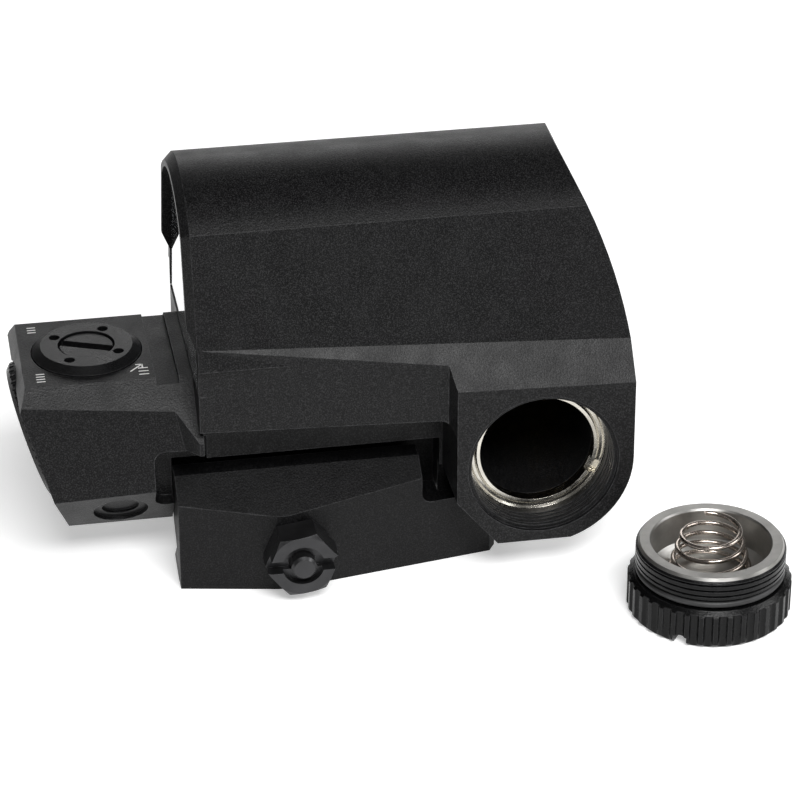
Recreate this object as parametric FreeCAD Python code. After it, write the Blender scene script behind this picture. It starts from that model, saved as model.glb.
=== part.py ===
import FreeCAD, Part
import math
import os

V = FreeCAD.Vector

# ---------------------------------------------------------------------------
# Rail-mounted red dot sight, millimetres.
# Origin: middle of the rail seat.  +X forward, +Y left, +Z up.
# ---------------------------------------------------------------------------

# Accessory rail that the clamp grips
rail_top_width = 15.67
rail_width = 21.2
rail_gap = 0.4
rail_pitch = 10.01
rail_slot = 5.23

# Battery and its compartment, lying across the sight
battery_d = 17.0
battery_l = 34.5
battery_clear = 0.65
battery_end_play = 0.7
battery_stop = 1.4
stop_width = 0.8
tube_floor = 2.8
ring_width = 2.15
ring_thick = 2.0
thread_step = 0.6
mouth_relief = 0.65
cap_depth = 5.0
end_wall = 6.8
block_wall = 2.4
block_foot = 1.25

# Housing
body_length = 68.55
body_rear_x = -19.0
hood_height = 31.1
hood_crest_half = 14.2
hood_crest_drop = 5.6
slab_half = 20.2
slab_front_rise = 5.2
slab_rear_rise = 8.65
hood_wall = 2.2
hood_shoulder = 1.4
rim_bevel = 1.3
lip_reach = 1.33
lip_end_rise = 11.5
lip_chamfer = 3.5
deck_cover = 1.65
waist_half = 12.0
waist_z = 20.2
recess_round = 2.4
waist_width_front = 21.9
front_lean = 6.3
front_sweep = 9.0

# Rear block with the adjusters
deck_half = 10.6
rear_deck_x = -43.5
rear_top_x = -44.6
rear_facet_drop = 3.1
rear_foot_x = -37.9
rear_block_front_x = -21.5
flare_start_x = -21.6
block_rear_half = 12.9
block_front_half = 14.6
flare_half = 16.5
flare_z = 8.3
foot_half = 10.2
rear_wall = 5.34
cavity_front_x = -21.0
cavity_wall = 1.7
cavity_half = 9.5
cavity_top_drop = 4.5
notch_depth = 0.9
notch_rear_x = -23.3
notch_front_x = -19.8

# Windows
lens_thick = 2.0
rear_lens_set_back = 1.5
front_lens_tilt = 12.0
front_lens_set_back = 5.2
frame_thick = 1.2
frame_width = 1.4

# Clamp
base_gap = 0.5
lug_notches = 1
bolt_groove = 0.3
base_top_z = 11.6
base_right_half = 7.0
foot_depth = 8.0
jaw_rear_x = -21.4
jaw_front_x = 29.6
jaw_top_z = 10.0
jaw_crest_x = -6.3
jaw_crest_y = 21.2
jaw_rear_y = 18.4
jaw_front_y = 15.6
jaw_crest_z = 5.3
jaw_shelf_x = 17.3
jaw_shelf_z = 3.1
shelf_round = 1.7
jaw_travel = 3.3
jaw_lip = 3.5
fixed_jaw_y = 17.5
bolt_x = -3.0
bolt_z = -0.9
bolt_d = 4.0
nut_flats = 10.0
nut_thick = 5.0
guide_d = 3.0
guide_offset_x = 9.2
guide_z = 5.6
spring_wire = 0.5

# Adjusters
turret_x = -33.04
turret_r = 8.58
turret_rise = 1.1
turret_head_r = 4.38
windage_x = -27.0
windage_z = 16.8
windage_r = 6.0
windage_plane_y = 14.8
adjuster_shank_r = 2.0
adjuster_depth = 3.6
adjuster_flange = 0.75
tip_gap = 0.8

# Brightness dial
dial_r = 11.3
dial_thick = 2.4
dial_recess = 1.3
dial_z = 12.6
dial_shaft_r = 2.0
dial_shaft_reach = 7.4
dial_grip_r = 0.45
dial_grips = 48

# Battery cap, standing on its knurled end beside the sight
cap_x = 59.06
cap_y = -37.2
cap_r = 12.75
cap_height = 11.75
cap_grip_height = 6.35
cap_ribs = 36
cap_slot = 2.2
cap_thread_pitch = 0.95
cap_spring_height = 9.6
cap_rim = 0.5

# Fits
running = 0.06
sliding = 0.04
parting = 0.3
close = 0.02

# ---------------------------------------------------------------------------
# Derived sizes
# ---------------------------------------------------------------------------
tube_r = battery_d / 2 + battery_clear
bore_z = rail_gap + tube_floor + tube_r
thread_r = tube_r + ring_width
mouth_r = thread_r + mouth_relief
block_r = mouth_r + block_wall
deck_z = bore_z + mouth_r + deck_cover
body_front_x = body_rear_x + body_length
bore_x = body_front_x - block_r
block_rear_x = bore_x - block_r + mouth_relief
base_half_length = block_rear_x - base_gap
block_half = (cap_depth + ring_thick + battery_l + battery_end_play + end_wall) / 2
tube_end_y = block_half - end_wall
stop_y = tube_end_y - battery_stop
ring_y = cap_depth - block_half
hood_top_z = deck_z + hood_height
crest_z = hood_top_z - hood_crest_drop
slab_front_z = deck_z + slab_front_rise
slab_rear_z = deck_z + slab_rear_rise
slab_rear_half = hood_crest_half + (slab_half - hood_crest_half) * (crest_z - slab_rear_z) / (
    crest_z - slab_front_z)
window_floor_z = deck_z + 0.5
vee_z = -(rail_width - rail_top_width) / 2 - 0.13
vee_half = rail_width / 2 + 0.1
foot_z = -foot_depth
cover_front_x = rear_block_front_x - 0.8
cavity_top_z = deck_z - cavity_top_drop
rake = math.atan((rear_foot_x - rear_top_x) / (deck_z - rear_facet_drop - rail_gap))
rear_out = V(-math.cos(rake), 0, -math.sin(rake))
dial_face = V(rear_top_x + (deck_z - rear_facet_drop - dial_z) * math.tan(rake), 0, dial_z)
cavity_rear_x = dial_face.x + rear_wall
thread_major_r = thread_r + thread_step - running
thread_minor_r = thread_r - 0.1

Y_AXIS = V(0, 1, 0)
Z_AXIS = V(0, 0, 1)
FAR = 300.0


# ---------------------------------------------------------------------------
# Small helpers
# ---------------------------------------------------------------------------
def box(x0, x1, y0, y1, z0, z1):
    return Part.makeBox(x1 - x0, y1 - y0, z1 - z0, V(x0, y0, z0))


def rod(base, axis, radius, length):
    return Part.makeCylinder(radius, length, base, axis)


def tube(base, axis, outer, inner, length):
    return rod(base, axis, outer, length).cut(rod(base - axis, axis, inner, length + 2))


def prism(points, direction):
    return Part.Face(Part.makePolygon(points + [points[0]])).extrude(direction)


def plate_yz(points, x0, x1):
    return prism([V(x0, y, z) for y, z in points], V(x1 - x0, 0, 0))


def plate_xz(points, y0, y1):
    return prism([V(x, y0, z) for x, z in points], V(0, y1 - y0, 0))


def plate_xy(points, z0, z1):
    return prism([V(x, y, z0) for x, y in points], V(0, 0, z1 - z0))


def cut_beyond(shape, point, outward):
    """Remove all material on the outward side of a plane."""
    block = Part.makeBox(2 * FAR, 2 * FAR, 2 * FAR, V(-FAR, -FAR, 0))
    block.Placement = FreeCAD.Placement(point, FreeCAD.Rotation(Z_AXIS, outward))
    return shape.cut(block)


def fuse(shapes):
    whole = shapes[0]
    for shape in shapes[1:]:
        whole = whole.fuse(shape)
    return whole.removeSplitter()


def cut_all(shape, tools):
    for tool in tools:
        shape = shape.cut(tool)
    return shape


def mirrored(shape):
    return shape.mirror(V(0, 0, 0), Y_AXIS)


def round_across(shape, x, z, radius):
    """Round the one edge that runs along Y at (x, z)."""
    edges = [e for e in shape.Edges
             if abs(e.CenterOfMass.x - x) + abs(e.CenterOfMass.z - z) < 0.01]
    return shape.makeFillet(radius, edges)


def group(shapes):
    return Part.makeCompound(shapes)


def revolve(profile, base, axis):
    """Turn a profile of (radius, height) pairs about an axis through base."""
    wire = Part.makePolygon([V(r, 0, h) for r, h in profile + [profile[0]]])
    solid = Part.Face(wire).revolve(V(0, 0, 0), Z_AXIS, 360)
    solid.Placement = FreeCAD.Placement(base, FreeCAD.Rotation(Z_AXIS, axis))
    return solid


def ring_grooves(base, axis, outer, root, first, count, pitch):
    """Vee grooves round a shaft, one to each thread turn."""
    cuts = []
    for index in range(count):
        mid = first + index * pitch
        half = pitch * 0.42
        cuts.append(revolve([(root, mid), (outer + 0.5, mid - half), (outer + 0.5, mid + half)], base, axis))
    return cuts


def coil(base, axis, r0, r1, height, turns, wire):
    """Round-wire compression spring whose coils may widen from r0 to r1."""
    steps = int(turns * 12)
    points = []
    for index in range(steps + 1):
        part = index / steps
        angle = 2 * math.pi * turns * part
        radius = r0 + (r1 - r0) * part
        points.append(V(radius * math.cos(angle), radius * math.sin(angle),
                        wire / 2 + (height - wire) * part))
    path = Part.BSplineCurve()
    path.interpolate(points)
    spine = Part.Wire(path.toShape())
    start = path.tangent(path.FirstParameter)[0]
    section = Part.Wire(Part.makeCircle(wire / 2, points[0], start))
    solid = spine.makePipeShell([section], True, True)
    solid.Placement = FreeCAD.Placement(base, FreeCAD.Rotation(Z_AXIS, axis))
    return solid


def hexagon(base, axis, flats, length, turn=0):
    radius = flats / math.sqrt(3)
    points = []
    for index in range(6):
        angle = math.radians(60 * index + turn)
        points.append(V(radius * math.cos(angle), radius * math.sin(angle), 0))
    solid = prism(points, V(0, 0, length))
    solid.Placement = FreeCAD.Placement(base, FreeCAD.Rotation(Z_AXIS, axis))
    return solid


def cap_screw(base, axis, radius, head_r, head_h, length):
    """Socket screw: the head starts at base and the shank runs along the axis."""
    head = rod(base, axis, head_r, head_h)
    shank = rod(base, axis, radius, head_h + length)
    socket = hexagon(base, axis, radius * 1.6, head_h * 0.6)
    return head.fuse(shank).cut(socket).removeSplitter()


# ---------------------------------------------------------------------------
# Housing
# ---------------------------------------------------------------------------
def hood_outline(inset, floor_z):
    """Cross-section of the hood: arched crown on two leaning side slabs."""
    lean = math.atan((slab_half - hood_crest_half) / (crest_z - slab_front_z))
    crest_y = hood_crest_half - inset * math.cos(lean) * 0.9
    crest = crest_z - inset * 0.75
    top = hood_top_z - inset
    foot_y = crest_y + (crest - floor_z) * math.tan(lean)
    crown = Part.Arc(V(0, crest_y, crest), V(0, 0, top), V(0, -crest_y, crest)).toShape()
    lines = Part.makePolygon([V(0, -crest_y, crest), V(0, -foot_y, floor_z), V(0, foot_y, floor_z),
                              V(0, crest_y, crest)])
    return Part.Wire([crown] + lines.Edges)


def hood_prism(inset, floor_z, x0, x1):
    outline = hood_outline(inset, floor_z)
    outline.translate(V(x0, 0, 0))
    return Part.Face(outline).extrude(V(x1 - x0, 0, 0))


def side_profile():
    """Outline of the main body seen from the side, extruded across its width."""
    top_x = body_front_x - front_sweep
    chin_z = bore_z
    start = V(body_rear_x, 0, hood_top_z + 1)
    top = V(top_x, 0, hood_top_z + 0.01)
    brow = V(body_front_x - front_lean * 0.55, 0, slab_front_z + (crest_z - slab_front_z) * 0.67)
    cheek = V(body_front_x - 0.1, 0, slab_front_z)
    nose = V(body_front_x, 0, chin_z)
    dip = math.sqrt(block_r ** 2 - (bore_z + block_foot) ** 2)
    sole = V(bore_x + dip, 0, -block_foot)
    mid_angle = math.radians(-35)
    mid = V(bore_x + block_r * math.cos(mid_angle), 0, bore_z + block_r * math.sin(mid_angle))
    edges = [
        Part.makeLine(start, V(top_x, 0, hood_top_z + 1)),
        Part.makeLine(V(top_x, 0, hood_top_z + 1), top),
        Part.Arc(top, brow, cheek).toShape(),
        Part.makeLine(cheek, nose),
        Part.Arc(nose, mid, sole).toShape(),
        Part.makeLine(sole, V(body_rear_x, 0, -block_foot)),
        Part.makeLine(V(body_rear_x, 0, -block_foot), start),
    ]
    face = Part.Face(Part.Wire(edges))
    face.translate(V(0, -FAR / 2, 0))
    return face.extrude(V(0, FAR, 0))


def shoulder_mass():
    """Body under the hood: its sides widen forward and step out to the battery block."""
    plan = [(body_rear_x, slab_rear_half - rim_bevel), (body_rear_x + rim_bevel, slab_rear_half),
            (block_rear_x - 0.9, waist_width_front), (block_rear_x, block_half),
            (body_front_x, block_half)]
    points = plan + [(x, -y) for x, y in reversed(plan)]
    mass = plate_xy(points, -block_foot, slab_rear_z)
    low = V(body_front_x, block_half, deck_z - 0.3)
    along = V(body_rear_x, slab_rear_half, slab_rear_z) - V(body_front_x, slab_half, slab_front_z)
    across = low - V(body_front_x, slab_half, slab_front_z)
    normal = across.cross(along)
    if normal.z < 0:
        normal = normal * -1
    left = cut_beyond(mass, low, normal)
    return cut_beyond(left, V(low.x, -low.y, low.z), V(normal.x, -normal.y, normal.z))


def lip_relief():
    """The hood's rear lip stops part way down with a chamfer, and the body is flush below it."""
    plane_x = body_rear_x + lip_reach
    end_z = deck_z + lip_end_rise
    return plate_xz([(body_rear_x - 1, -FAR), (plane_x, -FAR), (plane_x, end_z - lip_chamfer),
                     (body_rear_x, end_z), (body_rear_x - 1, end_z)], -slab_half, slab_half)


def battery_block_relief():
    """Everything cut away beneath and behind the battery block."""
    slope_x = block_rear_x + 6.6
    slope_z = 6.7
    sole_x = bore_x - 4.0
    heel = [(body_rear_x - 1, -FAR), (body_rear_x - 1, waist_z), (block_rear_x, waist_z),
            (block_rear_x, slope_z),
            (slope_x, -block_foot), (sole_x, -block_foot - 1), (sole_x, -FAR)]
    side = round_across(plate_xz(heel, -FAR / 2, -waist_half), block_rear_x, waist_z, recess_round)
    under = plate_xz([(body_rear_x - 1, -FAR), (body_rear_x - 1, base_top_z),
                      (base_half_length + close, base_top_z), (base_half_length + close, rail_gap),
                      (FAR, rail_gap), (FAR, -FAR)], -waist_half, waist_half)
    toe = box(body_rear_x - 1, slope_x, -waist_half, waist_half, -FAR / 4, rail_gap)
    swing = plate_xz([(base_half_length - 1, -FAR), (base_half_length - 1, slope_z), (block_rear_x, slope_z),
                      (slope_x, -block_foot), (slope_x, -FAR)], -waist_half - 1,
                     jaw_travel + parting - waist_half - 2)
    return [side, mirrored(side), under, toe, swing]


def rear_block():
    """Adjuster block behind the hood: raked rear, flared sides, chamfered foot."""
    rise = deck_z - rail_gap
    profile = [(rear_deck_x, deck_z), (rear_top_x, deck_z - rear_facet_drop), (rear_foot_x, rail_gap),
               (rear_block_front_x, rail_gap), (rear_block_front_x, base_top_z),
               (body_rear_x + 2, base_top_z), (body_rear_x + 2, deck_z)]
    block = plate_xz(profile, -slab_rear_half, slab_rear_half)
    crease_rear = V(rear_top_x, block_rear_half, deck_z - (block_rear_half - deck_half))
    crease_front = V(flare_start_x, block_front_half, deck_z - (block_front_half - deck_half))
    skirt = V(rear_top_x, flare_half, flare_z)
    side_out = (crease_front - crease_rear).cross(skirt - crease_rear)
    if side_out.y < 0:
        side_out = side_out * -1
    chamfer_out = V(0, 1, 1)
    foot_out = V(0, flare_z - rail_gap, foot_half - flare_half)
    flank = cut_beyond(block, crease_rear, side_out)
    flank = cut_beyond(flank, V(crease_rear.x, -crease_rear.y, crease_rear.z),
                       V(side_out.x, -side_out.y, side_out.z))
    neck = plate_xy([(flare_start_x, 0), (flare_start_x, block_front_half - 0.8),
                     (body_rear_x + lip_reach, slab_rear_half - 0.6), (body_rear_x + 2, slab_rear_half - 0.6),
                     (body_rear_x + 2, 0)], waist_z - 4.4, deck_z)
    whole = fuse([flank, neck.common(block), mirrored(neck).common(block)])
    for side in (1, -1):
        whole = cut_beyond(whole, V(0, side * deck_half, deck_z), V(0, side, 1))
        whole = cut_beyond(whole, V(0, side * foot_half, rail_gap), V(0, side * foot_out.y, foot_out.z))
    return whole


def deck_notch():
    return box(notch_rear_x, notch_front_x, -slab_half, slab_half, deck_z - notch_depth, deck_z + 1)


def jaw_pocket():
    """Rounded hollow in the rear block that clears the end of the clamp jaw."""
    rear_x = rear_block_front_x - 3.1
    hollow = box(rear_x, body_rear_x + 3, -slab_half, -waist_half + 1.0, 5.0, 15.6)
    corners = [e for e in hollow.Edges
               if abs(e.CenterOfMass.x - rear_x) < 0.01 and abs(e.tangentAt(e.FirstParameter).y) > 0.9]
    return hollow.makeFillet(1.8, corners)


def window_tunnel():
    """Light path through the hood, with a wider seat at each end for the glass."""
    middle = hood_prism(hood_wall + hood_shoulder, window_floor_z + hood_shoulder, body_rear_x - 1,
                        body_front_x + 1)
    rear_seat = hood_prism(hood_wall, window_floor_z, body_rear_x - 1,
                           body_rear_x + rear_lens_set_back + lens_thick)
    front_seat = hood_prism(hood_wall, window_floor_z, body_rear_x, body_front_x + 5)
    front_seat = cut_beyond(front_seat, front_lens_back(), front_lens_out() * -1)
    return [middle, rear_seat, front_seat]


def front_lens_out():
    tilt = math.radians(front_lens_tilt)
    return V(math.cos(tilt), 0, math.sin(tilt))


def front_lens_back():
    return V(body_front_x - front_lens_set_back - lens_thick, 0, window_floor_z)


def emitter_path():
    target = V(body_front_x - 8, 0, deck_z + hood_height * 0.48)
    source = V(cavity_front_x - 3.0, 0, windage_z + 0.8)
    return source, (target - source).normalize()


def emitter_port():
    source, direction = emitter_path()
    reach = (window_floor_z + hood_shoulder - source.z) / direction.z
    return rod(source, direction, 2.4, reach + 3)


def board_cavity():
    lower = box(-6.0, 15.0, -8.5, 8.5, base_top_z - 1, base_top_z + 4.6)
    upper = box(-5.0, 14.0, -7.3, 7.3, base_top_z, base_top_z + 6.8)
    return [lower, upper]


def rear_cavity():
    low_front_x = cavity_front_x - cavity_wall
    room = box(cavity_rear_x, low_front_x, -cavity_half, cavity_half, 3.6, cavity_top_z)
    upper = box(cavity_rear_x, cavity_front_x, -cavity_half, cavity_half, windage_z - 3.2, cavity_top_z)
    hatch = box(cavity_rear_x + 2.2, low_front_x - 0.8, -6.4, 6.4, rail_gap - 1, 4.0)
    recess = box(cavity_rear_x + 0.4, cover_front_x + 0.1, -8.8, 8.8, rail_gap - 1, rail_gap + 1.6)
    return [room, upper, hatch, recess]


def battery_bore():
    mouth = V(bore_x, -block_half, bore_z)
    relief = rod(mouth - Y_AXIS, Y_AXIS, mouth_r, 1 + 0.7)
    thread = rod(mouth - Y_AXIS, Y_AXIS, thread_r, 1 + cap_depth + ring_thick)
    well = rod(mouth, Y_AXIS, tube_r, stop_y + block_half)
    seat = rod(mouth, Y_AXIS, tube_r - stop_width, tube_end_y + block_half)
    cuts = [relief, thread, well, seat]
    for index in range(4):
        mid = 1.25 + index * cap_thread_pitch
        half = cap_thread_pitch * 0.42
        cuts.append(revolve([(thread_r - 0.3, mid - half), (thread_r + thread_step, mid),
                             (thread_r - 0.3, mid + half)], mouth, Y_AXIS))
    return cuts


def base_screw_spots():
    return [(x, y) for x in (-base_half_length + 5.5, base_half_length - 3.4) for y in (-4.0, 4.0)]


def adjuster_holes(origin, axis, ring_r):
    """Seat for one adjuster, sunk into a face at origin."""
    seat = rod(origin - axis * 1.0, axis, ring_r + 0.15, 7.0)
    thread = rod(origin - axis * adjuster_depth, axis, ring_r * 0.74, adjuster_depth + 1)
    shank = rod(origin - axis * 12.0, axis, adjuster_shank_r + running, 12.0)
    return [seat, thread, shank]


def dial_holes():
    seat = rod(dial_face - rear_out * dial_recess, rear_out, dial_r + parting, dial_recess + 3)
    shaft = rod(dial_face - rear_out * 9.0, rear_out, dial_shaft_r + running, 10.0)
    gland = rod(dial_face - rear_out * (dial_recess + 1.6), rear_out, dial_shaft_r + 1.1, 2.0)
    return [seat, shaft, gland]


def plug_spot():
    """Point and direction of the round plug on the right foot chamfer."""
    outward = V(0, -(flare_z - rail_gap), foot_half - flare_half).normalize()
    point = V(-29.9, -(flare_half + foot_half) / 2 + 0.2, (flare_z + rail_gap) / 2 + 0.2)
    return point, outward


def main_housing():
    hood = hood_prism(0, slab_front_z, body_rear_x, body_front_x)
    rim = [e for e in hood.Edges
           if abs(e.CenterOfMass.x - body_rear_x) < 0.01 and e.CenterOfMass.z > slab_front_z + 1]
    hood = hood.makeChamfer(rim_bevel, rim)
    body = fuse([hood, shoulder_mass()]).common(side_profile())
    body = cut_all(body, battery_block_relief() + [lip_relief()])
    body = fuse([body, rear_block()])
    point, outward = plug_spot()
    plug_seat = rod(point - outward * 1.6, outward, 4.3, 4)
    turret = V(turret_x, 0, deck_z)
    windage = V(windage_x, windage_plane_y, windage_z)
    body = cut_all(body, [deck_notch(), jaw_pocket(), plug_seat, emitter_port()])
    body = cut_all(body, window_tunnel() + board_cavity() + rear_cavity() + battery_bore())
    body = cut_all(body, adjuster_holes(turret, Z_AXIS, turret_r))
    body = cut_all(body, adjuster_holes(windage, Y_AXIS, windage_r) + dial_holes())
    screws = [rod(V(x, y, base_top_z - 1), Z_AXIS, 1.5, 7.0) for x, y in base_screw_spots()]
    screws += [rod(V(x, y, rail_gap), Z_AXIS, 0.95, 4.0) for x, y in cover_screw_spots()]
    return cut_all(body, screws).removeSplitter()


# ---------------------------------------------------------------------------
# Rear block cover and sealing plug
# ---------------------------------------------------------------------------
def cover_screw_spots():
    x0 = cavity_rear_x + 1.6
    x1 = cover_front_x - 1.2
    return [(x, y) for x in (x0, x1) for y in (-7.5, 7.5)]


def bottom_cover():
    lip_front_x = cavity_front_x - cavity_wall - 1.0
    plate = box(cavity_rear_x + 0.5, cover_front_x, -8.7, 8.7, rail_gap, rail_gap + 1.3)
    lip = box(cavity_rear_x + 2.4, lip_front_x, -6.2, 6.2, rail_gap + 1.3, rail_gap + 2.6)
    seat = box(cavity_rear_x + 4.6, lip_front_x - 2.2, -4.2, 4.2, rail_gap + 1.7, rail_gap + 3.0)
    whole = plate.fuse(lip).removeSplitter().cut(seat)
    return cut_all(whole, [rod(V(x, y, rail_gap - 1), Z_AXIS, 1.0, 4) for x, y in cover_screw_spots()])


def cover_gasket():
    outer = box(cavity_rear_x + 0.5, cover_front_x, -8.7, 8.7, rail_gap + 1.3, rail_gap + 1.6)
    inner = box(cavity_rear_x + 2.3, cavity_front_x - cavity_wall - 0.9, -6.3, 6.3, rail_gap + 1,
                rail_gap + 2)
    ring = outer.cut(inner)
    return cut_all(ring, [rod(V(x, y, rail_gap), Z_AXIS, 1.0, 4) for x, y in cover_screw_spots()])


def cover_screws():
    screws = []
    for x, y in cover_screw_spots():
        screw = rod(V(x, y, rail_gap + 0.1), Z_AXIS, 0.95, 3.0)
        screws.append(screw.cut(hexagon(V(x, y, rail_gap), Z_AXIS, 0.9, 0.9)))
    return group(screws)


def sealing_plug():
    point, outward = plug_spot()
    disc = rod(point - outward * 1.6, outward, 4.3 - close, 1.25)
    dimple = rod(point - outward * 0.85, outward, 2.9, 1.0)
    return disc.cut(dimple)


# ---------------------------------------------------------------------------
# Windows
# ---------------------------------------------------------------------------
def front_seat_prism(inset, start, thick):
    """Slice of the window shape, square to the tilted front glass."""
    out = front_lens_out()
    shape = hood_prism(inset, window_floor_z + inset - hood_wall, body_rear_x, body_front_x + 5)
    shape = cut_beyond(shape, front_lens_back() + out * start, out * -1)
    return cut_beyond(shape, front_lens_back() + out * (start + thick), out)


def front_lens():
    return front_seat_prism(hood_wall + 0.05, 0.02, lens_thick)


def front_lens_frame():
    outer = front_seat_prism(hood_wall + 0.02, lens_thick + 0.04, frame_thick)
    return outer.cut(hood_prism(hood_wall + frame_width, window_floor_z + frame_width, body_rear_x,
                                body_front_x + 5))


def rear_seat_prism(inset, start, thick):
    x0 = body_rear_x + rear_lens_set_back + start
    return hood_prism(inset, window_floor_z + inset - hood_wall, x0, x0 + thick)


def rear_lens():
    return rear_seat_prism(hood_wall + 0.05, 0, lens_thick - 0.5)


def rear_lens_seal():
    outer = rear_seat_prism(hood_wall + 0.05, lens_thick - 0.5, 0.5)
    return outer.cut(rear_seat_prism(hood_wall + hood_shoulder, lens_thick - 1, 2))


# ---------------------------------------------------------------------------
# Rail clamp
# ---------------------------------------------------------------------------
def guide_spots():
    return [bolt_x - guide_offset_x, bolt_x + guide_offset_x]


def clamp_bolt():
    """Cross bolt: square-necked head on the left, threaded end on the right."""
    head = rod(V(bolt_x, fixed_jaw_y - 2.6, bolt_z), Y_AXIS, bolt_d * 0.95, 2.2)
    end_y = -jaw_crest_y - nut_thick - 1.1
    shank = rod(V(bolt_x, end_y, bolt_z), Y_AXIS, bolt_d / 2, fixed_jaw_y - 1.0 - end_y)
    socket = hexagon(V(bolt_x, fixed_jaw_y - 1.6, bolt_z), Y_AXIS, bolt_d * 0.7, 3)
    tip = revolve([(bolt_d / 2 - 0.4, 0), (bolt_d, 0), (bolt_d, 0.5), (bolt_d / 2, 0.5)],
                  V(bolt_x, end_y, bolt_z), Y_AXIS)
    return head.fuse(shank).cut(socket).cut(tip).removeSplitter()


def clamp_nut():
    """Slotted hexagon nut with a counterbored face."""
    face = V(bolt_x, -jaw_crest_y - 0.1, bolt_z)
    nut = hexagon(face, -Y_AXIS, nut_flats, nut_thick, 8)
    corner = nut_flats / math.sqrt(3)
    bevel = revolve([(corner - 0.9, nut_thick + 0.1), (corner + 1, nut_thick - 1.0),
                     (corner + 1, nut_thick + 0.1)], face, -Y_AXIS)
    counterbore = rod(face - Y_AXIS * (nut_thick - 1.2), -Y_AXIS, 3.3, 3)
    hole = rod(face + Y_AXIS, -Y_AXIS, bolt_d / 2 + running, nut_thick + 3)
    slot = box(-nut_flats, nut_flats, face.y - nut_thick - 1, face.y - nut_thick + 2.1, -1.05, 1.05)
    slot.translate(V(bolt_x, 0, bolt_z))
    return cut_all(nut, [bevel, counterbore, hole, slot])


def clamp_jaw():
    """Moving jaw, open by its travel: vee on the rail side, tapered outside."""
    inner = base_right_half + parting + jaw_travel
    tip_y = vee_half + jaw_travel - jaw_lip
    vee_y = vee_half + jaw_travel
    crown_y = inner + 3.4
    section = [(-inner, parting), (-inner, jaw_top_z), (-crown_y, jaw_top_z), (-jaw_crest_y, jaw_crest_z),
               (-jaw_crest_y, foot_z), (-vee_y - 1.5, foot_z), (-tip_y, vee_z - jaw_lip),
               (-vee_y, vee_z), (-vee_y - vee_z - parting, -parting)]
    jaw = plate_yz(section, jaw_rear_x, jaw_front_x)
    nose_y = jaw_front_y
    plan = [(jaw_rear_x, 0), (jaw_rear_x, -jaw_rear_y), (jaw_crest_x, -jaw_crest_y),
            (jaw_crest_x + 1.9, -jaw_crest_y), (jaw_front_x - 1.0, -nose_y), (jaw_front_x, -nose_y + 1.2),
            (jaw_front_x, 0)]
    jaw = jaw.common(plate_xy(plan, foot_z, jaw_top_z))
    shelf = round_across(box(jaw_shelf_x, FAR, -FAR, 0, jaw_shelf_z, FAR), jaw_shelf_x, jaw_shelf_z,
                         shelf_round)
    clear = parting + 0.1
    shadow = plate_xz([(block_rear_x - clear, FAR), (block_rear_x - clear, 6.7 - clear),
                       (block_rear_x + 6.6 - clear, -block_foot - clear), (FAR, -block_foot - clear),
                       (FAR, FAR)], -FAR, 0)
    inside = box(base_half_length - 0.6, FAR, -waist_half - 2.0, 0, -block_foot - clear, FAR)
    hole = rod(V(bolt_x, -FAR / 2, bolt_z), Y_AXIS, bolt_d / 2 + 0.2, FAR / 2)
    guides = [rod(V(x, -inner - jaw_travel - 3.2, guide_z), Y_AXIS, guide_d / 2 + sliding, 12)
              for x in guide_spots()]
    wells = [rod(V(x, -inner - 2.6, guide_z), Y_AXIS, 1.9, 5) for x in spring_spots()]
    boss = rod(V(bolt_x, -jaw_crest_y, bolt_z), -Y_AXIS, nut_flats * 0.7, 8)
    return cut_all(jaw, [shelf, shadow, inside, hole, boss] + guides + wells)


def spring_spots():
    return [bolt_x - guide_offset_x / 2, bolt_x + guide_offset_x / 2]


def mount_base():
    """Rail seat, fixed left jaw and recoil lug in one bar."""
    vee_in = rail_top_width / 2 + 0.05
    section = [(-base_right_half, base_top_z), (-base_right_half, 0), (vee_in, 0), (vee_half, vee_z),
               (vee_half - jaw_lip, vee_z - jaw_lip), (vee_half + 1.5, foot_z), (fixed_jaw_y, foot_z),
               (fixed_jaw_y, jaw_crest_z), (waist_half + 1.5, jaw_top_z), (waist_half, jaw_top_z),
               (waist_half, base_top_z)]
    base = plate_yz(section, -base_half_length, base_half_length)
    lug_x = bolt_x + rail_pitch * lug_notches
    lug_half = rail_slot / 2 - 0.12
    lug = box(lug_x - lug_half, lug_x + lug_half, -base_right_half, vee_in - 0.4, -2.6, 0.5)
    base = base.fuse(lug).removeSplitter()
    hole = rod(V(bolt_x, -FAR / 2, bolt_z), Y_AXIS, bolt_d / 2 + close, FAR)
    head = rod(V(bolt_x, fixed_jaw_y - 2.6, bolt_z), Y_AXIS, bolt_d * 0.95 + close, 8)
    guides = [rod(V(x, -base_right_half - 1, guide_z), Y_AXIS, guide_d / 2, 8.5) for x in guide_spots()]
    wells = [rod(V(x, -base_right_half - 1, guide_z), Y_AXIS, 1.9, 3.6) for x in spring_spots()]
    groove_half = bolt_d / 2 + bolt_groove
    groove = box(bolt_x - groove_half, bolt_x + groove_half, -FAR, FAR, vee_z, bolt_groove)
    groove = groove.common(box(-FAR, FAR, -base_right_half - 1, vee_half, -FAR, FAR))
    cuts = [hole, head, groove] + guides + wells
    for x, y in base_screw_spots():
        cuts.append(rod(V(x, y, -1), Z_AXIS, 2.75, 1 + 3.4))
        cuts.append(rod(V(x, y, -1), Z_AXIS, 1.6, base_top_z + 2))
    for x in (-base_half_length - 1, base_half_length - 2.4):
        cuts.append(box(x, x + 3.4, waist_half + 2.4, FAR, foot_z - 1, foot_z + 2))
    return cut_all(base, cuts)


def base_screws():
    return group([cap_screw(V(x, y, 0.4), Z_AXIS, 1.5, 2.7, 3.0, 14.0) for x, y in base_screw_spots()])


def guide_pins():
    reach = 6.4 + jaw_travel + 3.0
    return group([rod(V(x, -base_right_half - reach + 6.4, guide_z), Y_AXIS, guide_d / 2, reach)
                  for x in guide_spots()])


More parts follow.
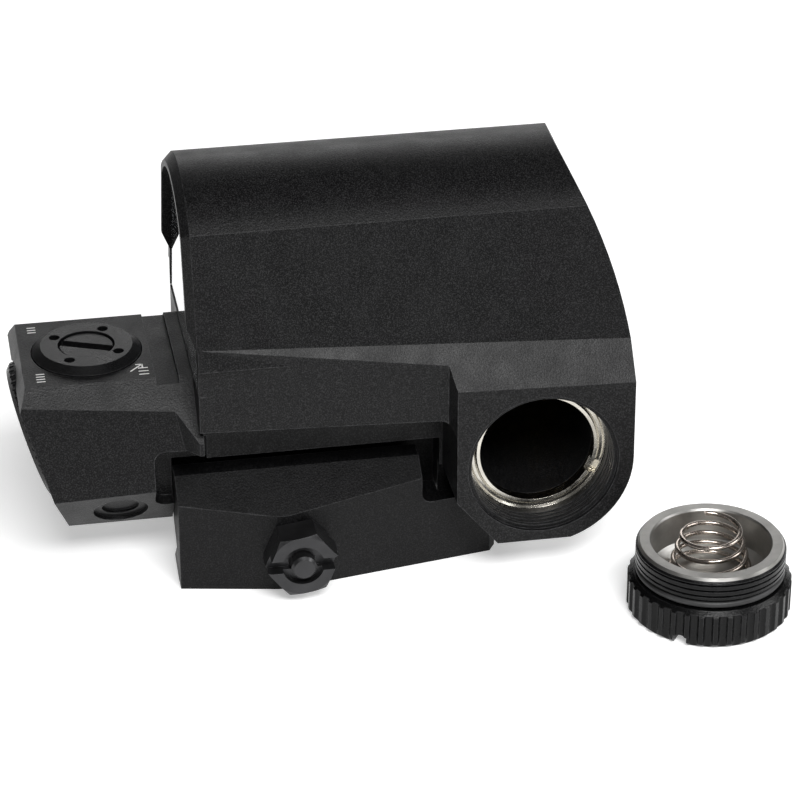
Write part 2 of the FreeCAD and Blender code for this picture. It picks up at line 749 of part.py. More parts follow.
def jaw_springs():
    span = jaw_travel + parting + 5.0
    return group([coil(V(x, -base_right_half + 2.5, guide_z), -Y_AXIS, 1.3, 1.3, span, 5, spring_wire)
                  for x in spring_spots()])


# ---------------------------------------------------------------------------
# Adjusters and the light source they move
# ---------------------------------------------------------------------------
def adjuster_retainer(origin, axis, ring_r, head_r):
    """Bevelled threaded ring with four spanner holes."""
    bore = head_r + running + close
    thread = ring_r * 0.74 - close
    foot = adjuster_flange - adjuster_depth
    profile = [(bore, turret_rise), (ring_r * 0.84, turret_rise), (ring_r, 0.15), (ring_r, -0.95),
               (thread, -0.95), (thread, foot), (bore, foot)]
    ring = revolve(profile, origin, axis)
    circle = ring_r * 0.655
    turn = FreeCAD.Rotation(Z_AXIS, axis)
    holes = []
    for index in range(4):
        angle = math.radians(57.5 + 90 * index)
        spot = turn.multVec(V(circle * math.cos(angle), circle * math.sin(angle), -0.1))
        holes.append(rod(origin + spot, axis, ring_r * 0.1, 3))
    return cut_all(ring, holes)


def adjuster_screw(origin, axis, head_r, reach, slot_turn):
    """Slotted adjusting screw, its foot just short of the stage it sets."""
    foot = adjuster_depth - adjuster_flange
    head = rod(origin - axis * foot, axis, head_r, foot + turret_rise - 0.25)
    shank = rod(origin - axis * reach, axis, adjuster_shank_r, reach - 1)
    slot = box(-head_r - 1, head_r + 1, -0.9, 0.9, turret_rise - 1.55, turret_rise + 1)
    slot.rotate(V(0, 0, 0), Z_AXIS, slot_turn)
    slot.Placement = FreeCAD.Placement(origin, FreeCAD.Rotation(Z_AXIS, axis)).multiply(slot.Placement)
    rim = revolve([(head_r - 0.3, turret_rise - 0.25), (head_r + 1, turret_rise - 0.25),
                   (head_r + 1, turret_rise - 0.6), (head_r, turret_rise - 0.6)], origin, axis)
    return head.fuse(shank).cut(slot).cut(rim).removeSplitter()


def adjuster_seal(origin, axis):
    level = -adjuster_depth + 0.36
    ring = Part.makeTorus(adjuster_shank_r + 0.75, 0.32)
    ring.Placement = FreeCAD.Placement(origin + axis * level, FreeCAD.Rotation(Z_AXIS, axis))
    return ring


turret_spot = V(turret_x, 0, deck_z)
windage_spot = V(windage_x, windage_plane_y, windage_z)
windage_head_r = windage_r * 0.74 - 1.6
stage_top_z = cavity_top_z - 1.4 - tip_gap
shelf_z = windage_z - 2.5
stage_half_y = 7.0
stage_spring_x = (cavity_rear_x + cavity_front_x + 0.6) / 2
slide_half_y = 4.8


def elevation_stage():
    """Carriage that rides up and down on two posts in the rear block."""
    post = box(cavity_rear_x + 1.4, windage_x - 2.7, -stage_half_y, stage_half_y, 9.0, stage_top_z)
    relief = box(cavity_rear_x, turret_x + 0.5, -3.6, 3.6, 8.0, stage_top_z - 1.1)
    front_x = cavity_front_x - cavity_wall - 0.5
    shelf = box(windage_x - 2.8, front_x, -stage_half_y, stage_half_y, 9.0, shelf_z)
    groove = box(windage_x - 0.8, windage_x + 0.8, -stage_half_y - 1, stage_half_y + 1, shelf_z - 1.2,
                 shelf_z + 1)
    posts = [rod(V(turret_x - 0.6, y, 0), Z_AXIS, 1.0 + sliding, 30) for y in (-5.0, 5.0)]
    well = rod(V(stage_spring_x, 0, 8.0), Z_AXIS, 2.4, 1 + 3.0)
    return cut_all(post.fuse(shelf).removeSplitter(), [relief, groove, well] + posts)


def stage_posts():
    return group([rod(V(turret_x - 0.6, y, 3.8), Z_AXIS, 1.0, cavity_top_z - 3.8) for y in (-5.0, 5.0)])


def emitter_seat():
    source, direction = emitter_path()
    return V(windage_x + 4.3, 0, source.z - 0.4), direction


def windage_stage():
    """Small slide that carries the light source across the elevation carriage."""
    block = box(windage_x - 2.5, windage_x + 4.4, -slide_half_y, slide_half_y, shelf_z + 0.05,
                stage_top_z - 0.1)
    tongue = box(windage_x - 0.8 + running, windage_x + 0.8 - running, -slide_half_y, slide_half_y,
                 shelf_z - 1.1, shelf_z + 1)
    seat, direction = emitter_seat()
    pocket = rod(seat - direction * 1.2, direction, 1.4, 5)
    return block.fuse(tongue).removeSplitter().cut(pocket)


def led_emitter():
    seat, direction = emitter_seat()
    can = rod(seat - direction * 1.2, direction, 1.4 - close, 1.6)
    dome = Part.makeSphere(1.0, seat + direction * 0.4)
    return can.fuse(dome).removeSplitter()


def stage_springs():
    lower = coil(V(stage_spring_x, 0, rail_gap + 1.7), Z_AXIS, 1.8, 1.8, 9.9, 5, spring_wire)
    side = coil(V(windage_x, -cavity_half, windage_z), Y_AXIS, 1.5, 1.5, cavity_half - slide_half_y, 4,
                spring_wire)
    return lower, side


# ---------------------------------------------------------------------------
# Brightness dial and switch
# ---------------------------------------------------------------------------
def brightness_dial():
    base = dial_face - rear_out * (dial_recess - 0.05)
    disc = rod(base, rear_out, dial_r, dial_thick)
    rim = revolve([(dial_r - 0.7, dial_thick), (dial_r + 1, dial_thick), (dial_r + 1, dial_thick - 0.7),
                   (dial_r, dial_thick - 0.7)], base, rear_out)
    shaft = rod(dial_face - rear_out * dial_shaft_reach, rear_out, dial_shaft_r, dial_shaft_reach)
    slot = box(-3.2, 3.2, -0.75, 0.75, dial_thick - 0.9, dial_thick + 1)
    slot.Placement = FreeCAD.Placement(base, FreeCAD.Rotation(Z_AXIS, rear_out))
    cuts = [rim, slot]
    turn = FreeCAD.Rotation(Z_AXIS, rear_out)
    for index in range(dial_grips):
        angle = 2 * math.pi * index / dial_grips
        spot = turn.multVec(V((dial_r + 0.25) * math.cos(angle), (dial_r + 0.25) * math.sin(angle), 0.9))
        cuts.append(rod(base + spot, rear_out, dial_grip_r, dial_thick + 1))
    return cut_all(disc.fuse(shaft).removeSplitter(), cuts)


def dial_seal():
    ring = Part.makeTorus(dial_shaft_r + 0.62, 0.45)
    centre = dial_face - rear_out * (dial_recess + 0.85)
    ring.Placement = FreeCAD.Placement(centre, FreeCAD.Rotation(Z_AXIS, rear_out))
    return ring


def rotary_switch():
    """Switch wafer on the cavity wall, turned by the dial's shaft."""
    wafer = box(cavity_rear_x + close, cavity_rear_x + 0.9, -8.6, 8.6, 5.0, cavity_top_z - 2.5)
    return wafer.cut(rod(dial_face, -rear_out, 3.4, 16))


def dial_clip():
    base = dial_face - rear_out * (dial_shaft_reach - 0.1)
    ring = tube(base, rear_out, 3.0, dial_shaft_r, 0.7)
    return ring.cut(box(-FAR, FAR, -0.8, 0.8, -FAR, base.z))


# ---------------------------------------------------------------------------
# Electronics
# ---------------------------------------------------------------------------
def control_board():
    level = base_top_z + 4.6 - 1.2
    board = box(-5.8, 14.8, -8.2, 8.2, level, level + 1.2 - close)
    chip = box(0, 5, -2.5, 2.5, level - 1.1, level)
    relay = box(8.5, 11.5, -5.5, -2.5, level - 0.8, level)
    cap = rod(V(9.5, 4, level - 1.6), Z_AXIS, 1.5, 1.6)
    board = fuse([board, chip, relay, cap])
    return cut_all(board, [rod(V(x, 0, level - 2), Z_AXIS, 0.9, 4) for x in (-4.4, 13.4)])


def board_screws():
    level = base_top_z + 4.6 - 1.2
    return group([rod(V(x, 0, level - 0.7), Z_AXIS, 1.6, 0.7).fuse(rod(V(x, 0, level - 0.1), Z_AXIS,
                                                                       0.8, 1.3))
                  for x in (-4.4, 13.4)])


def battery_ring():
    """Bare metal seat ring at the foot of the cap thread."""
    ring = tube(V(bore_x, ring_y, bore_z), Y_AXIS, thread_r - close, tube_r, ring_thick)
    dish = revolve([(tube_r + 0.5, -0.01), (thread_r - 0.5, -0.01), (thread_r - 0.8, 0.35),
                    (tube_r + 0.9, 0.35)],
                   V(bore_x, ring_y, bore_z), Y_AXIS)
    notch = box(tube_r - 1, tube_r + 1.5, -1, 1.2, -1.1, 1.1)
    notch.rotate(V(0, 0, 0), Y_AXIS, 24)
    notch.translate(V(bore_x, ring_y, bore_z))
    return ring.cut(dish).cut(notch)


def contact_insulator():
    disc = rod(V(bore_x, tube_end_y - 0.9, bore_z), Y_AXIS, tube_r - stop_width - 0.15, 0.9 - close)
    return disc.cut(rod(V(bore_x, 0, bore_z), Y_AXIS, 1.5, FAR))


def battery_contact():
    face = V(bore_x, stop_y + 0.05, bore_z)
    button = rod(face, Y_AXIS, 3.6, 0.45)
    return button.fuse(rod(face, Y_AXIS, 1.5 - close, tube_end_y - face.y - close)).removeSplitter()


# ---------------------------------------------------------------------------
# Battery cap, standing beside the sight
# ---------------------------------------------------------------------------
cap_foot = V(cap_x, cap_y, foot_z)
cap_well_r = thread_r - 1.5
cap_floor = 4.0
cap_neck_r = thread_r - 0.75


def battery_cap():
    profile = [(0, 0), (cap_r - 0.7, 0), (cap_r, 0.7), (cap_r, cap_grip_height - 0.8),
               (cap_r - 0.9, cap_grip_height), (cap_neck_r, cap_grip_height),
               (cap_neck_r, cap_grip_height + 1.5), (thread_major_r - 0.5, cap_grip_height + 1.5),
               (thread_major_r - 0.2, cap_grip_height + 1.8), (thread_major_r - 0.2,
                                                               cap_height - cap_rim - 0.3),
               (thread_major_r - 0.4, cap_height - cap_rim), (cap_well_r, cap_height - cap_rim),
               (cap_well_r, cap_floor), (0, cap_floor)]
    cap = revolve(profile, cap_foot, Z_AXIS)
    cuts = ring_grooves(cap_foot, Z_AXIS, thread_major_r, thread_minor_r - 0.1, cap_grip_height + 2.4, 3,
                        cap_thread_pitch)
    for index in range(cap_ribs):
        angle = 2 * math.pi * (index + 0.5) / cap_ribs
        spot = V((cap_r + 0.25) * math.cos(angle), (cap_r + 0.25) * math.sin(angle), -1)
        cuts.append(rod(cap_foot + spot, Z_AXIS, 0.8, cap_grip_height + 0.4))
    slot = box(-cap_r - 1, cap_r + 1, -cap_slot / 2, cap_slot / 2, -1, 1.5)
    slot.rotate(V(0, 0, 0), Z_AXIS, 55)
    slot.translate(cap_foot)
    return cut_all(cap, cuts + [slot])


def cap_seal():
    ring = Part.makeTorus(cap_neck_r + 0.55, 0.52)
    ring.translate(cap_foot + V(0, 0, cap_grip_height + 0.75))
    return ring.cut(rod(cap_foot, Z_AXIS, cap_neck_r, cap_height))


def cap_contact_cup():
    """Dished bare metal liner that carries the negative contact."""
    outer = cap_well_r - close
    rim_z = cap_height - cap_rim + close
    profile = [(0, cap_floor + close), (outer, cap_floor + close), (outer, rim_z),
               (thread_major_r - 0.5, rim_z),
               (thread_major_r - 0.8, cap_height), (outer - 0.3, cap_height), (outer - 0.5, cap_height - 0.3),
               (outer - 0.6, cap_floor + 2.4), (outer - 2.2, cap_floor + 0.9), (0, cap_floor + 0.9)]
    return revolve(profile, cap_foot, Z_AXIS)


def cap_spring():
    wide = cap_well_r - 3.2
    return coil(cap_foot + V(0, 0, cap_floor + 0.92), Z_AXIS, wide, 4.2, cap_spring_height, 4.25, 0.75)


# ---------------------------------------------------------------------------
# The whole set
# ---------------------------------------------------------------------------
lower_spring, side_spring = stage_springs()
parts = {
    "main_housing": main_housing(),
    "bottom_cover": bottom_cover(),
    "cover_gasket": cover_gasket(),
    "cover_screws": cover_screws(),
    "sealing_plug": sealing_plug(),
    "front_lens": front_lens(),
    "front_lens_frame": front_lens_frame(),
    "rear_lens": rear_lens(),
    "rear_lens_seal": rear_lens_seal(),
    "mount_base": mount_base(),
    "base_screws": base_screws(),
    "clamp_jaw": clamp_jaw(),
    "clamp_bolt": clamp_bolt(),
    "clamp_nut": clamp_nut(),
    "guide_pins": guide_pins(),
    "jaw_springs": jaw_springs(),
    "elevation_retainer": adjuster_retainer(turret_spot, Z_AXIS, turret_r, turret_head_r),
    "elevation_screw": adjuster_screw(turret_spot, Z_AXIS, turret_head_r,
                                      deck_z - stage_top_z - tip_gap, -22),
    "elevation_seal": adjuster_seal(turret_spot, Z_AXIS),
    "windage_retainer": adjuster_retainer(windage_spot, Y_AXIS, windage_r, windage_head_r),
    "windage_screw": adjuster_screw(windage_spot, Y_AXIS, windage_head_r,
                                    windage_plane_y - slide_half_y - tip_gap, 15),
    "windage_seal": adjuster_seal(windage_spot, Y_AXIS),
    "elevation_stage": elevation_stage(),
    "stage_posts": stage_posts(),
    "windage_stage": windage_stage(),
    "led_emitter": led_emitter(),
    "elevation_spring": lower_spring,
    "windage_spring": side_spring,
    "brightness_dial": brightness_dial(),
    "dial_seal": dial_seal(),
    "dial_clip": dial_clip(),
    "rotary_switch": rotary_switch(),
    "control_board": control_board(),
    "board_screws": board_screws(),
    "battery_ring": battery_ring(),
    "contact_insulator": contact_insulator(),
    "battery_contact": battery_contact(),
    "battery_cap": battery_cap(),
    "cap_seal": cap_seal(),
    "cap_contact_cup": cap_contact_cup(),
    "cap_spring": cap_spring(),
}

os.makedirs("parts", exist_ok=True)
for name, shape in parts.items():
    shape.exportStep(os.path.join("parts", name + ".step"))
print("wrote", len(parts), "parts")
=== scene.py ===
import math

import bmesh
import bpy
from mathutils import Matrix, Vector


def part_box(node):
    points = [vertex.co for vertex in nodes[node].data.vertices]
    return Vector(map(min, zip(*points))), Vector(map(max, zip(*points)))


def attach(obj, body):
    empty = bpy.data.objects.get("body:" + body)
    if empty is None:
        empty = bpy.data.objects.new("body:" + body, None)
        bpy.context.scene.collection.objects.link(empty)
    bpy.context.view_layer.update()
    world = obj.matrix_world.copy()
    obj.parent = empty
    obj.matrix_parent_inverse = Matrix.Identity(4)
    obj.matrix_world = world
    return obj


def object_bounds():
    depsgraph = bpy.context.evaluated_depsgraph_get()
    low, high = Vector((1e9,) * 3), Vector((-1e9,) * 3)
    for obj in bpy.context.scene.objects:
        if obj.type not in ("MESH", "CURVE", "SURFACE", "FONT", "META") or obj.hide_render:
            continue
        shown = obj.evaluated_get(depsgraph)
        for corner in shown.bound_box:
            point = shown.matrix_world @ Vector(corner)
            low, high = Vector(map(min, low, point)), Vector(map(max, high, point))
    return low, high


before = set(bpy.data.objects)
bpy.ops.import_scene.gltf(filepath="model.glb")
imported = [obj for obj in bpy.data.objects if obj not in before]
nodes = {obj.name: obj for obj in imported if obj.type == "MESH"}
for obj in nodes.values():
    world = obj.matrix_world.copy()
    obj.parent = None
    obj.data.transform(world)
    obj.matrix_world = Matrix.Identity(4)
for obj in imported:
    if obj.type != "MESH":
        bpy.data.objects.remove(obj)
cad_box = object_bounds()
MM = 0.001


# ---------------------------------------------------------------------------
# Node helpers
# ---------------------------------------------------------------------------
class Tree:
    """A material's node tree, with one short call for each kind of node."""

    def __init__(self, name):
        self.material = bpy.data.materials.new(name)
        self.material.use_nodes = True
        self.nodes = self.material.node_tree.nodes
        self.links = self.material.node_tree.links
        self.shader = self.nodes["Principled BSDF"]
        self.coords = self.nodes.new("ShaderNodeTexCoord").outputs["Object"]

    def join(self, source, target):
        self.links.new(source, target)

    def noise(self, scale, detail=3.0, rough=0.55, vector=None):
        node = self.nodes.new("ShaderNodeTexNoise")
        node.inputs["Scale"].default_value = scale
        node.inputs["Detail"].default_value = detail
        node.inputs["Roughness"].default_value = rough
        self.join(vector or self.coords, node.inputs["Vector"])
        return node.outputs["Fac"]

    def spots(self, scale):
        node = self.nodes.new("ShaderNodeTexVoronoi")
        node.inputs["Scale"].default_value = scale
        self.join(self.coords, node.inputs["Vector"])
        return node.outputs["Distance"]

    def stretched(self, x, y, z):
        node = self.nodes.new("ShaderNodeMapping")
        node.inputs["Scale"].default_value = (x, y, z)
        self.join(self.coords, node.inputs["Vector"])
        return node.outputs["Vector"]

    def span(self, value, low, high, out_low=0.0, out_high=1.0):
        node = self.nodes.new("ShaderNodeMapRange")
        node.inputs["From Min"].default_value = low
        node.inputs["From Max"].default_value = high
        node.inputs["To Min"].default_value = out_low
        node.inputs["To Max"].default_value = out_high
        self.join(value, node.inputs["Value"])
        return node.outputs["Result"]

    def math(self, kind, a, b=None, number=None):
        node = self.nodes.new("ShaderNodeMath")
        node.operation = kind
        self.join(a, node.inputs[0])
        if b is not None:
            self.join(b, node.inputs[1])
        if number is not None:
            node.inputs[1].default_value = number
        return node.outputs["Value"]

    def blend(self, factor, dark, light):
        node = self.nodes.new("ShaderNodeMix")
        node.data_type = "RGBA"
        for name, value in (("A", dark), ("B", light)):
            socket = [s for s in node.inputs if s.name == name and s.type == "RGBA"][0]
            if isinstance(value, tuple):
                socket.default_value = (*value, 1.0)
            else:
                self.join(value, socket)
        self.join(factor, node.inputs["Factor"])
        return [s for s in node.outputs if s.type == "RGBA"][0]

    def rounded(self, radius):
        node = self.nodes.new("ShaderNodeBevel")
        node.samples = 4
        node.inputs["Radius"].default_value = radius
        return node.outputs["Normal"]

    def edges(self, radius):
        """White where a corner lies within the radius."""
        soft = self.rounded(radius)
        plain = self.nodes.new("ShaderNodeNewGeometry").outputs["Normal"]
        node = self.nodes.new("ShaderNodeVectorMath")
        node.operation = "DOT_PRODUCT"
        self.join(soft, node.inputs[0])
        self.join(plain, node.inputs[1])
        return self.span(node.outputs["Value"], 0.985, 0.80)

    def bump(self, height, strength, distance, normal=None):
        node = self.nodes.new("ShaderNodeBump")
        node.inputs["Strength"].default_value = strength
        node.inputs["Distance"].default_value = distance
        self.join(height, node.inputs["Height"])
        if normal is not None:
            self.join(normal, node.inputs["Normal"])
        return node.outputs["Normal"]

    def finish(self, colour=None, rough=None, normal=None, metal=0.0, specular=0.5):
        if colour is not None:
            self.join(colour, self.shader.inputs["Base Color"])
        if rough is not None:
            self.join(rough, self.shader.inputs["Roughness"])
        if normal is not None:
            self.join(normal, self.shader.inputs["Normal"])
        self.shader.inputs["Metallic"].default_value = metal
        self.shader.inputs["Specular IOR Level"].default_value = specular
        return self.material


def anodised(name, dark, light, grain, rough, round_mm, edge_wear_and_highlight, fleck):
    """Bead-blasted black anodising: fine pits and flecks, faint mottling, corners painted paler, partly as
    edge wear and partly as painted edge highlights.
    """
    t = Tree(name)
    blast = t.noise(grain, 4.0, 0.6)
    pits = t.spots(grain * 0.7)
    mottle = t.noise(240.0, 3.0, 0.5)
    # Painted highlight and wear: a mask of every corner, used to paint the edges pale grey in place of the
    # glints along them, mixed with some edge wear.
    corner = t.edges(0.28 * MM)
    rubbed_and_highlit = t.math("MULTIPLY", corner, t.span(t.noise(900.0, 3.0), 0.35, 0.75, 0.1, 1.0))
    rubbed_and_highlit = t.math("MULTIPLY", rubbed_and_highlit, number=edge_wear_and_highlight)
    base = t.blend(t.span(mottle, 0.2, 0.8), dark, light)
    speckle = t.noise(grain * 1.15, 1.0, 0.5)
    flecks = t.math("MULTIPLY", t.span(speckle, 0.46, 0.70), number=fleck)
    base = t.blend(flecks, base, tuple(c * 3.0 + 0.032 for c in light))
    # Corners painted a pale grey: painted edge highlights together with edge wear.
    base = t.blend(rubbed_and_highlit, base, (0.10, 0.10, 0.104))
    roughness = t.span(t.math("ADD", blast, mottle), 0.7, 1.3, rough - 0.06, rough + 0.08)
    height = t.math("ADD", blast, pits)
    normal = t.bump(height, 0.5, 0.04 * MM, t.rounded(round_mm * MM))
    return t.finish(base, roughness, normal, 0.0, 0.19)


def bare_metal(name, tint, rough, lathe_axis=None, lines=5200.0, metal=1.0):
    """Machined bare metal with fine tool lines and small stains."""
    t = Tree(name)
    along_lines = {"y": (0.15, 1.0, 0.15), "z": (0.15, 0.15, 1.0), None: (1.0, 1.0, 1.0)}
    vector = t.stretched(*along_lines[lathe_axis])
    tool = t.noise(lines, 2.0, 0.5, vector)
    stain = t.noise(260.0, 5.0, 0.6)
    dark = tuple(c * 0.72 for c in tint)
    base = t.blend(t.span(stain, 0.35, 0.7), dark, tint)
    roughness = t.span(t.math("ADD", tool, stain), 0.7, 1.3, rough - 0.08, rough + 0.12)
    normal = t.bump(tool, 0.10, 0.006 * MM, t.rounded(0.05 * MM))
    return t.finish(base, roughness, normal, metal)


def coated_glass(name):
    """Optical glass with a mirror coating, faintly smeared and dusty."""
    t = Tree(name)
    dust = t.noise(420.0, 6.0, 0.7)
    smear = t.noise(60.0, 3.0, 0.5)
    base = t.blend(t.span(smear, 0.3, 0.7), (0.78, 0.82, 0.86), (0.88, 0.91, 0.94))
    t.finish(base, t.span(dust, 0.45, 0.8, 0.02, 0.10), t.bump(smear, 0.03, 0.02 * MM), 0.35, 0.9)
    t.shader.inputs["Transmission Weight"].default_value = 0.75
    t.shader.inputs["IOR"].default_value = 1.52
    t.shader.inputs["Coat Weight"].default_value = 1.0
    t.shader.inputs["Coat Roughness"].default_value = 0.02
    t.shader.inputs["Coat IOR"].default_value = 2.2
    return t.material


def rubber(name):
    """Moulded black rubber with a fine skin grain."""
    t = Tree(name)
    grain = t.noise(3000.0, 4.0, 0.6)
    base = t.blend(t.span(t.noise(300.0), 0.3, 0.7), (0.012, 0.012, 0.012), (0.028, 0.028, 0.029))
    return t.finish(base, t.span(grain, 0.3, 0.7, 0.42, 0.62), t.bump(grain, 0.3, 0.02 * MM))


def board(name):
    """Solder-masked laminate with the weave just showing."""
    t = Tree(name)
    weave = t.noise(1500.0, 2.0, 0.5, t.stretched(1.0, 0.2, 1.0))
    pads = t.span(t.spots(700.0), 0.10, 0.16, 1.0, 0.0)
    base = t.blend(t.span(weave, 0.3, 0.7), (0.010, 0.075, 0.032), (0.018, 0.12, 0.05))
    base = t.blend(t.math("MULTIPLY", pads, number=0.7), base, (0.75, 0.58, 0.25))
    normal = t.bump(weave, 0.3, 0.02 * MM, t.rounded(0.08 * MM))
    return t.finish(base, t.span(weave, 0.3, 0.7, 0.25, 0.4), normal)


def plain_grain(name, dark, light, rough, scale, metal=0.0):
    """Two close tones in a fine grain, with a bump to match."""
    t = Tree(name)
    grain = t.noise(scale, 4.0, 0.6)
    base = t.blend(t.span(grain, 0.3, 0.7), dark, light)
    normal = t.bump(grain, 0.35, 0.02 * MM, t.rounded(0.08 * MM))
    return t.finish(base, t.span(grain, 0.3, 0.7, rough - 0.07, rough + 0.1), normal, metal)


def lamp_red(name):
    """Cloudy red resin of the light source."""
    t = Tree(name)
    cloud = t.noise(1500.0)
    base = t.blend(t.span(cloud, 0.3, 0.7), (0.35, 0.01, 0.01), (0.6, 0.03, 0.02))
    t.finish(base, t.span(cloud, 0.3, 0.7, 0.1, 0.2), t.bump(cloud, 0.1, 0.02 * MM))
    t.shader.inputs["Transmission Weight"].default_value = 0.6
    return t.material


finishes = {
    # edge_wear_and_highlight sets how strongly the corners are painted paler, as painted highlight and as
    # wear.
    "housing": anodised("housing_anodised", (0.0006, 0.0006, 0.0008), (0.0016, 0.0016, 0.0019),
                        grain=4600.0, rough=0.42, round_mm=0.10, edge_wear_and_highlight=0.9, fleck=0.55),
    "clamp": anodised("clamp_anodised", (0.0004, 0.0004, 0.0006), (0.0012, 0.0012, 0.0015),
                      grain=4400.0, rough=0.46, round_mm=0.12, edge_wear_and_highlight=0.9, fleck=0.3),
    "dial": anodised("dial_anodised", (0.0012, 0.0012, 0.0014), (0.0026, 0.0026, 0.0029),
                     grain=7000.0, rough=0.30, round_mm=0.12, edge_wear_and_highlight=0.7, fleck=0.3),
    "cap": anodised("cap_anodised", (0.0006, 0.0006, 0.0007), (0.0014, 0.0014, 0.0016),
                    grain=6000.0, rough=0.24, round_mm=0.08, edge_wear_and_highlight=0.5, fleck=0.15),
    "steel_dark": bare_metal("steel_blackened", (0.055, 0.055, 0.057), 0.36, None, 2600.0, 0.85),
    "steel": bare_metal("steel_plain", (0.50, 0.44, 0.39), 0.2, None, 4200.0),
    "ring": bare_metal("aluminium_turned_ring", (0.72, 0.69, 0.62), 0.18, "y", 5200.0),
    "cup": bare_metal("aluminium_turned_cup", (0.50, 0.49, 0.47), 0.36, "z", 2600.0),
    "alloy": bare_metal("aluminium_milled", (0.72, 0.72, 0.72), 0.3, None, 3000.0),
    "glass": coated_glass("glass_coated"),
    "rubber": rubber("rubber_black"),
    "board": board("board_green"),
    "fibre": plain_grain("fibre_insulator", (0.38, 0.28, 0.14), (0.55, 0.43, 0.24), 0.6, 1800.0),
    "brass": plain_grain("brass_plated", (0.60, 0.45, 0.18), (0.80, 0.64, 0.32), 0.25, 900.0, 1.0),
    "led": lamp_red("led_clear_red"),
    "paint": plain_grain("paint_white", (0.62, 0.62, 0.60), (0.85, 0.85, 0.83), 0.55, 5000.0),
}

worn_by = {
    "housing": ["main_housing", "bottom_cover", "sealing_plug"],
    "clamp": ["mount_base", "clamp_jaw"],
    "dial": ["front_lens_frame", "elevation_retainer", "elevation_screw", "windage_retainer",
             "windage_screw", "brightness_dial"],
    "cap": ["battery_cap"],
    "steel_dark": ["cover_screws", "base_screws", "clamp_bolt", "clamp_nut"],
    "steel": ["guide_pins", "jaw_springs", "stage_posts", "elevation_spring", "windage_spring", "dial_clip",
              "board_screws", "cap_spring"],
    "ring": ["battery_ring"],
    "cup": ["cap_contact_cup"],
    "alloy": ["elevation_stage", "windage_stage"],
    "glass": ["front_lens", "rear_lens"],
    "rubber": ["cover_gasket", "rear_lens_seal", "elevation_seal", "windage_seal", "dial_seal",
               "cap_seal"],
    "board": ["rotary_switch", "control_board"],
    "fibre": ["contact_insulator"],
    "brass": ["battery_contact"],
    "led": ["led_emitter"],
}
for finish, names in worn_by.items():
    for name in names:
        node = nodes[name]
        node.data.materials.clear()
        node.data.materials.append(finishes[finish])


# ---------------------------------------------------------------------------
# White filled marks on the adjuster block
# ---------------------------------------------------------------------------
turret_low, turret_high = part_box("elevation_retainer")
turret_x = (turret_low[0] + turret_high[0]) / 2 / MM
turret_stands = 1.1
deck_z = turret_high[2] - turret_stands * MM
line_width = 0.24 * MM
line_height = 0.05 * MM
line_sunk = 0.03 * MM


def stroke(start, end):
    """One engraved and filled line between two points, each (x, y) in mm from the turret's middle."""
    shape = bmesh.new()
    start, end = (Vector((turret_x + x, y, 0.0)) * MM for x, y in (start, end))
    along = (end - start).normalized() * line_width * 0.5
    side = Vector((-along.y, along.x, 0.0))
    lift = Vector((0.0, 0.0, line_height))
    corners = [start - along - side, end + along - side, end + along + side, start - along + side]
    low = [shape.verts.new(c) for c in corners]
    top = [shape.verts.new(c + lift) for c in corners]
    shape.faces.new(low[::-1])
    shape.faces.new(top)
    for index in range(4):
        after = (index + 1) % 4
        shape.faces.new((low[index], low[after], top[after], top[index]))
    return shape


def mark(name, lines):
    """A group of filled lines standing just proud of the deck."""
    data = bpy.data.meshes.new(name)
    whole = bmesh.new()
    for start, end in lines:
        part = stroke(start, end)
        part.to_mesh(data)
        part.free()
        whole.from_mesh(data)
    whole.to_mesh(data)
    whole.free()
    piece = bpy.data.objects.new(name, data)
    piece.location = (0.0, 0.0, deck_z - line_sunk)
    bpy.context.scene.collection.objects.link(piece)
    piece.data.materials.append(finishes["paint"])
    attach(piece, "sight")


def ticks(x, length, first_y, pitch, count):
    """Short lines along x, one above the other."""
    rows = [first_y + pitch * index for index in range(count)]
    return [((x, y), (x + length, y)) for y in rows]


arrow_tail = (6.14, -8.0)
arrow_tip = (8.04, -6.0)
arrow_barb = 0.9
barbs = [((arrow_tip[0] - arrow_barb, arrow_tip[1]), arrow_tip),
         (arrow_tip, (arrow_tip[0], arrow_tip[1] - arrow_barb))]
mark("marks_far", ticks(x=-8.56, length=1.1, first_y=7.3, pitch=0.8, count=3))
mark("marks_near", ticks(x=-8.36, length=1.1, first_y=-6.6, pitch=-0.8, count=4))
mark("arrow", [(arrow_tail, arrow_tip)] + barbs)
mark("marks_side", ticks(x=7.44, length=1.3, first_y=-7.2, pitch=-1.0, count=3))


# ---------------------------------------------------------------------------
# Camera, light and floor
# ---------------------------------------------------------------------------
azimuth = math.radians(-10.033)
elevation = math.radians(29.296)
eye = Vector((-64.81, -461.38, 275.05)) * MM
lens_mm = 150.3
sensor_mm = 36.0
middle = (0, 0, 0.02)
front_half = (0.03, 0, 0.02)
paper_glow = 0.42
sky_strength = 0.11

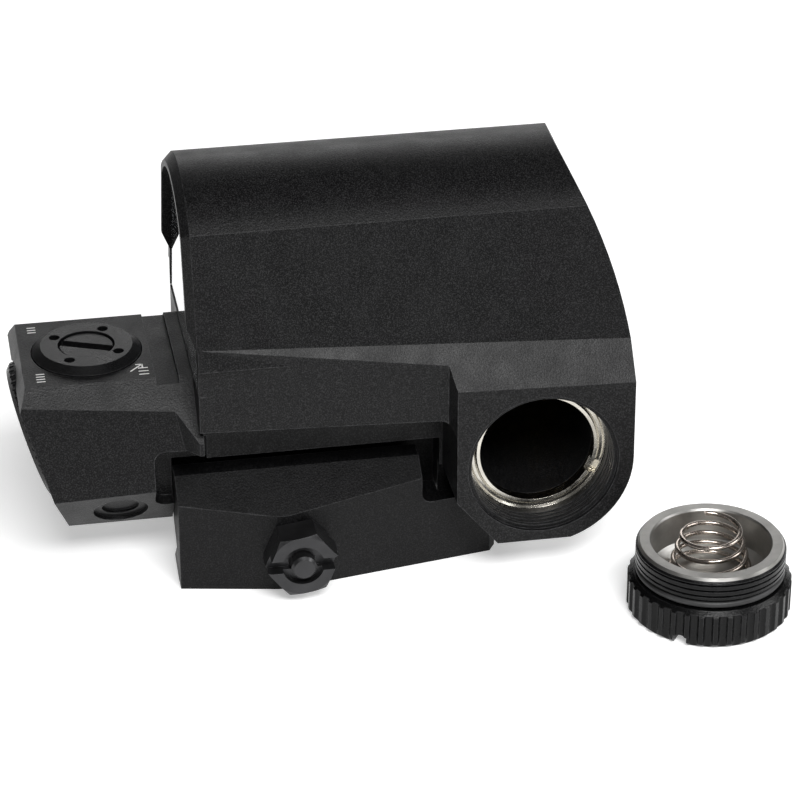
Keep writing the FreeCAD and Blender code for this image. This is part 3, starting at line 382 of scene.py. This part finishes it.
back = Vector((math.sin(azimuth) * math.cos(elevation), -math.cos(azimuth) * math.cos(elevation),
               math.sin(elevation)))
right = Vector((math.cos(azimuth), math.sin(azimuth), 0.0))
up = back.cross(right)
camera_data = bpy.data.cameras.new("camera")
camera_data.lens = lens_mm
camera_data.sensor_width = sensor_mm
camera_data.clip_start = 0.01
camera = bpy.data.objects.new("camera", camera_data)
camera.matrix_world = Matrix.Translation(eye) @ Matrix((right, up, back)).transposed().to_4x4()
bpy.context.scene.collection.objects.link(camera)
bpy.context.scene.camera = camera


def softbox(name, place, target, width, height, power):
    """A rectangular lamp at a place, facing its target; power in watts."""
    data = bpy.data.lights.new(name, "AREA")
    data.shape = "RECTANGLE"
    data.size = width
    data.size_y = height
    data.energy = power
    lamp = bpy.data.objects.new(name, data)
    lamp.location = place
    lamp.rotation_euler = (Vector(target) - Vector(place)).to_track_quat("-Z", "Y").to_euler()
    bpy.context.scene.collection.objects.link(lamp)


floor_z = cad_box[0][2]
mesh = bpy.data.meshes.new("floor")
sheet = bmesh.new()
bmesh.ops.create_grid(sheet, x_segments=1, y_segments=1, size=4.0)
sheet.to_mesh(mesh)
sheet.free()
floor = bpy.data.objects.new("floor", mesh)
floor.location = (0, 0, floor_z)
bpy.context.scene.collection.objects.link(floor)
paper = Tree("floor_paper")
fibre = paper.noise(40.0, 3.0)
shade = paper.blend(paper.span(fibre, 0.3, 0.7), (0.90, 0.90, 0.90), (0.93, 0.93, 0.93))
paper.finish(shade, paper.span(fibre, 0.3, 0.7, 0.55, 0.65))
paper.join(shade, paper.shader.inputs["Emission Color"])
paper.shader.inputs["Emission Strength"].default_value = paper_glow
floor.data.materials.append(paper.material)

world = bpy.data.worlds.new("studio")
bpy.context.scene.world = world
world.use_nodes = True
world.node_tree.nodes["Background"].inputs["Color"].default_value = (1.0, 1.0, 1.0, 1.0)
world.node_tree.nodes["Background"].inputs["Strength"].default_value = sky_strength

softbox("front", (0.05, -0.66, 0.74), middle, width=0.5, height=0.30, power=9.5)
softbox("back", (0.15, 0.95, 0.36), middle, width=0.7, height=0.28, power=1.7)
softbox("right", (0.8, -0.2, 0.5), front_half, width=0.4, height=0.4, power=3.0)

view = bpy.context.scene.view_settings
view.view_transform = "Standard"
